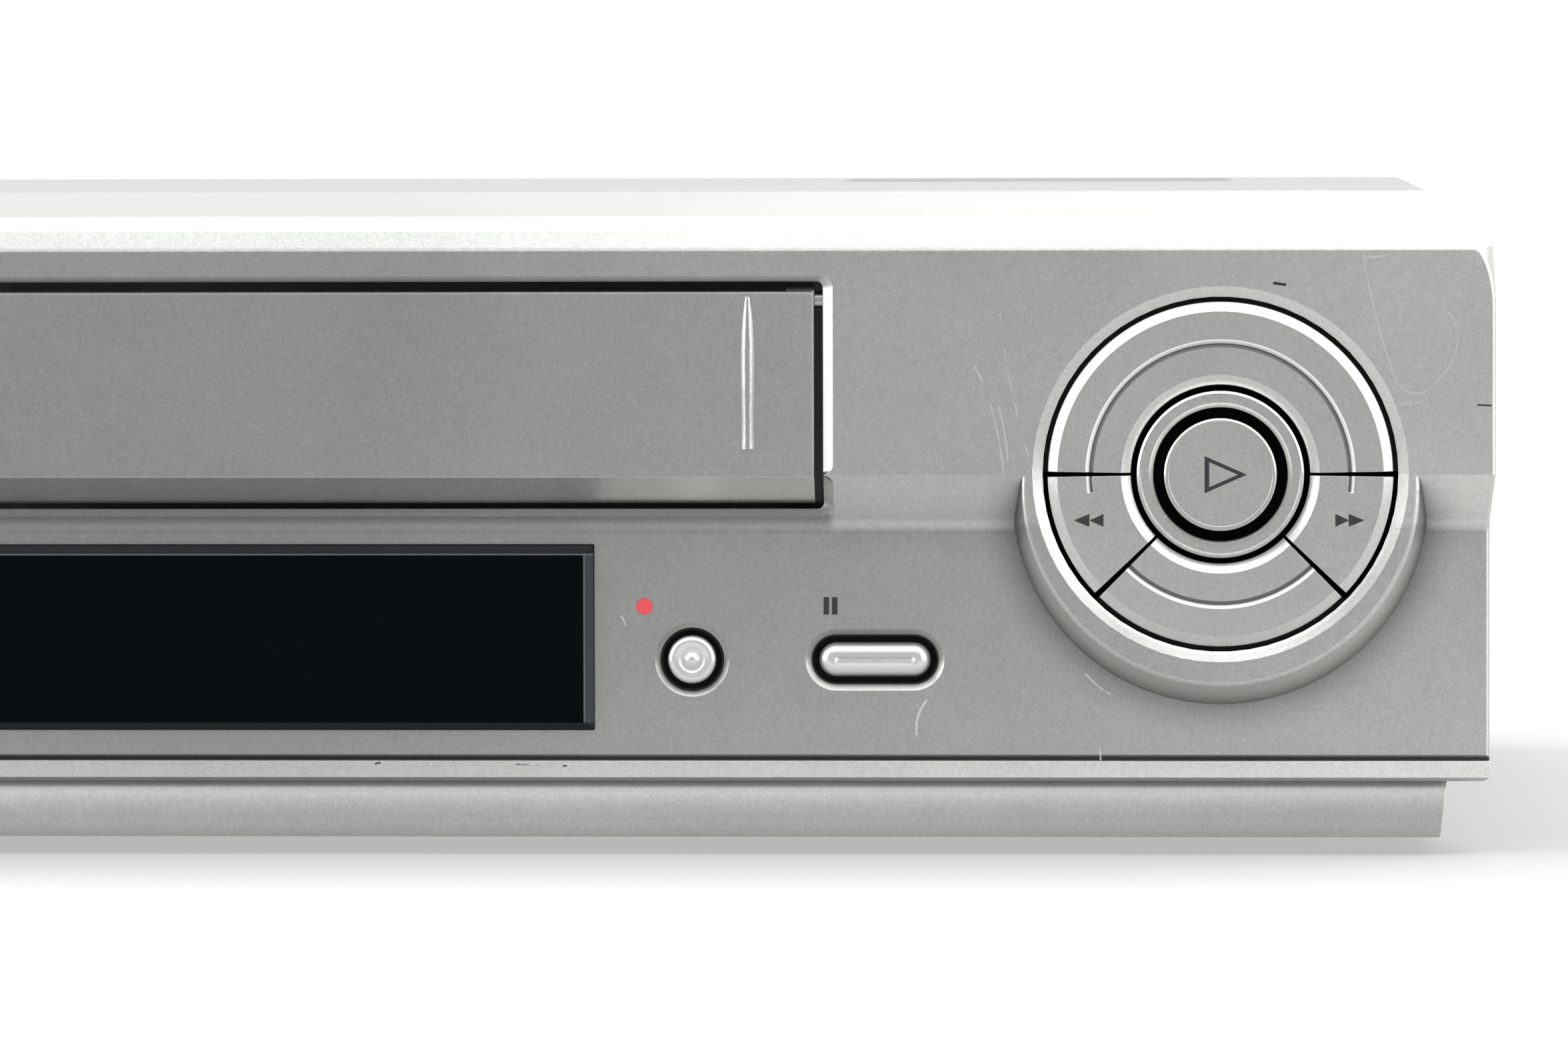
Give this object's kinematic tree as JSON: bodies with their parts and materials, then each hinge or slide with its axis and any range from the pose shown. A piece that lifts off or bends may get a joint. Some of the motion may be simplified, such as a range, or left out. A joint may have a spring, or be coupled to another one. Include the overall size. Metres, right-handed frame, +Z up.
{
  "type": "video cassette recorder",
  "caption": "Front-loading video cassette recorder with a hinged flap, round transport dial, display window, steel case and complete tape mechanism.",
  "frame": {"origin": "on the floor under the middle of the case", "axes": "+X along the width, to the right seen from the front; +Y towards the rear; +Z up"},
  "size_m": [0.3598, 0.268, 0.094],
  "materials": {
    "silver_paint": "silver metallic paint on moulded plastic",
    "button_silver": "bright silver, polished rims",
    "window_black": "glossy black acrylic",
    "case_paint": "pale silver-grey paint on sheet steel",
    "zinc_steel": "zinc-plated sheet steel",
    "screw_steel": "dark zinc plating",
    "rubber": "soft black rubber",
    "black_plastic": "black moulded plastic",
    "white_plastic": "natural acetal",
    "board_green": "solder-masked laminate",
    "part_black": "component bodies",
    "core_steel": "varnished laminated core",
    "aluminium": "machined",
    "bright_steel": "polished"
  },
  "bodies": {
    "case": {"front_panel": "silver_paint", "dial_ring": "silver_paint", "play_collar": "silver_paint", "base_skirt": "silver_paint", "display_window": "window_black", "top_cover": "case_paint", "bottom_pan": "zinc_steel", "rear_panel": "zinc_steel", "deck_plate": "zinc_steel", "carriage_rail_left": "zinc_steel", "carriage_rail_right": "zinc_steel", "tuner": "zinc_steel", "deck_posts": "zinc_steel", "case_screws": "screw_steel", "flap_spring": "screw_steel", "feet": "rubber", "drive_belt": "rubber", "slot_frame": "black_plastic", "mains_inlet": "black_plastic", "av_sockets": "black_plastic", "phono_jacks": "black_plastic", "display_module": "black_plastic", "tact_switches": "black_plastic", "key_board": "board_green", "main_board": "board_green", "power_board": "board_green", "main_board_parts": "part_black", "power_board_parts": "part_black", "transformer": "core_steel", "heat_sink": "aluminium", "head_drum_lower": "aluminium", "capstan_housing": "bright_steel", "tape_heads": "bright_steel", "loading_motor": "bright_steel"},
    "flap": {"cassette_flap": "silver_paint"},
    "play": {"play_button": "silver_paint"},
    "rewind": {"rewind_key": "silver_paint"},
    "forward": {"forward_key": "silver_paint"},
    "record": {"record_button": "button_silver"},
    "pause": {"pause_button": "button_silver"},
    "power": {"power_button": "button_silver"},
    "stop_eject": {"stop_eject_button": "button_silver"},
    "channel_up": {"channel_up_button": "button_silver"},
    "channel_down": {"channel_down_button": "button_silver"},
    "carriage": {"cassette_holder": "zinc_steel"},
    "upper_drum": {"head_drum_upper": "aluminium", "drum_rotor": "bright_steel"},
    "capstan": {"capstan_flywheel": "bright_steel"},
    "clutch": {"clutch_pulley": "black_plastic"},
    "pinch_lever": {"pinch_arm": "bright_steel"},
    "pinch_wheel": {"pinch_roller": "rubber"},
    "supply": {"supply_reel": "black_plastic"},
    "takeup": {"takeup_reel": "black_plastic"},
    "idler": {"idler_arm": "white_plastic"},
    "idler_disc": {"idler_wheel": "rubber"},
    "cam": {"cam_gear": "white_plastic"},
    "motor_pinion": {"pinion": "white_plastic"},
    "left_guide": {"guide_left": "white_plastic"},
    "right_guide": {"guide_right": "white_plastic"},
    "tension": {"tension_arm": "black_plastic"}
  },
  "joints": [
    {"name": "flap_hinge", "type": "hinge", "parent": "case", "child": "flap", "pos_m": [-0.0163, -0.1296, 0.079], "axis": [1, 0, 0], "range_deg": [0, 88], "stiffness_Nm_per_rad": 0.01, "springref_deg": -20.05},
    {"name": "play_press", "type": "slide", "parent": "case", "child": "play", "axis": [0, 1, 0], "range_m": [0, 0.0009], "stiffness_N_per_m": 300},
    {"name": "rewind_press", "type": "slide", "parent": "case", "child": "rewind", "axis": [0, 1, 0], "range_m": [0, 0.0009], "stiffness_N_per_m": 300},
    {"name": "forward_press", "type": "slide", "parent": "case", "child": "forward", "axis": [0, 1, 0], "range_m": [0, 0.0009], "stiffness_N_per_m": 300},
    {"name": "record_press", "type": "slide", "parent": "case", "child": "record", "axis": [0, 1, 0], "range_m": [0, 0.0009], "stiffness_N_per_m": 300},
    {"name": "pause_press", "type": "slide", "parent": "case", "child": "pause", "axis": [0, 1, 0], "range_m": [0, 0.0009], "stiffness_N_per_m": 300},
    {"name": "power_press", "type": "slide", "parent": "case", "child": "power", "axis": [0, 1, 0], "range_m": [0, 0.0009], "stiffness_N_per_m": 300},
    {"name": "stop_eject_press", "type": "slide", "parent": "case", "child": "stop_eject", "axis": [0, 1, 0], "range_m": [0, 0.0009], "stiffness_N_per_m": 300},
    {"name": "channel_up_press", "type": "slide", "parent": "case", "child": "channel_up", "axis": [0, 1, 0], "range_m": [0, 0.0009], "stiffness_N_per_m": 300},
    {"name": "channel_down_press", "type": "slide", "parent": "case", "child": "channel_down", "axis": [0, 1, 0], "range_m": [0, 0.0009], "stiffness_N_per_m": 300},
    {"name": "carriage_slide", "type": "slide", "parent": "case", "child": "carriage", "axis": [0, 0.9138, -0.4061], "range_m": [0, 0.04924]},
    {"name": "drum_spin", "type": "hinge", "parent": "case", "child": "upper_drum", "pos_m": [-0.0163, 0.067, 0.0275], "axis": [0, -0.1045, 0.9945], "continuous": true},
    {"name": "capstan_spin", "type": "hinge", "parent": "case", "child": "capstan", "pos_m": [0.0357, 0.033, 0.0275], "axis": [0, 0, 1], "continuous": true},
    {"name": "clutch_spin", "type": "hinge", "parent": "case", "child": "clutch", "pos_m": [-0.0163, -0.012, 0.018], "axis": [0, 0, 1], "continuous": true},
    {"name": "pinch_swing", "type": "hinge", "parent": "case", "child": "pinch_lever", "pos_m": [0.058, 0.048, 0.029], "axis": [0, 0, 1], "range_deg": [0, 20]},
    {"name": "pinch_roller_spin", "type": "hinge", "parent": "pinch_lever", "child": "pinch_wheel", "pos_m": [0.0383, 0.047, 0.043], "axis": [0, 0, 1], "continuous": true},
    {"name": "supply_spin", "type": "hinge", "parent": "case", "child": "supply", "pos_m": [-0.0623, -0.037, 0.03], "axis": [0, 0, 1], "continuous": true},
    {"name": "takeup_spin", "type": "hinge", "parent": "case", "child": "takeup", "pos_m": [0.0297, -0.037, 0.03], "axis": [0, 0, 1], "continuous": true},
    {"name": "idler_swing", "type": "hinge", "parent": "case", "child": "idler", "pos_m": [-0.0163, -0.012, 0.031], "axis": [0, 0, 1], "range_deg": [-24, 24]},
    {"name": "idler_spin", "type": "hinge", "parent": "idler", "child": "idler_disc", "pos_m": [-0.0163, -0.037, 0.029], "axis": [0, 0, 1], "continuous": true},
    {"name": "cam_turn", "type": "hinge", "parent": "case", "child": "cam", "pos_m": [-0.0903, 0.072, 0.03], "axis": [0, 0, 1], "range_deg": [0, 270]},
    {"name": "pinion_turn", "type": "hinge", "parent": "case", "child": "motor_pinion", "pos_m": [-0.0903, 0.042, 0.03], "axis": [0, 0, 1], "range_deg": [-1080, 0]},
    {"name": "guide_left_slide", "type": "slide", "parent": "case", "child": "left_guide", "axis": [-0.3285, 0.9445, 0], "range_m": [0, 0.04871]},
    {"name": "guide_right_slide", "type": "slide", "parent": "case", "child": "right_guide", "axis": [0.3285, 0.9445, 0], "range_m": [0, 0.04871]},
    {"name": "tension_swing", "type": "hinge", "parent": "case", "child": "tension", "pos_m": [-0.084, 0.032, 0.029], "axis": [0, 0, 1], "range_deg": [-8, 8], "stiffness_Nm_per_rad": 0.02}
  ],
  "couplings": [
    {"joint": "clutch_spin", "follows": "capstan_spin", "ratio": 0.5},
    {"joint": "pinion_turn", "follows": "cam_turn", "ratio": -4},
    {"joint": "guide_left_slide", "follows": "cam_turn", "m_per_rad": 0.010335},
    {"joint": "guide_right_slide", "follows": "cam_turn", "m_per_rad": 0.010335}
  ]
}
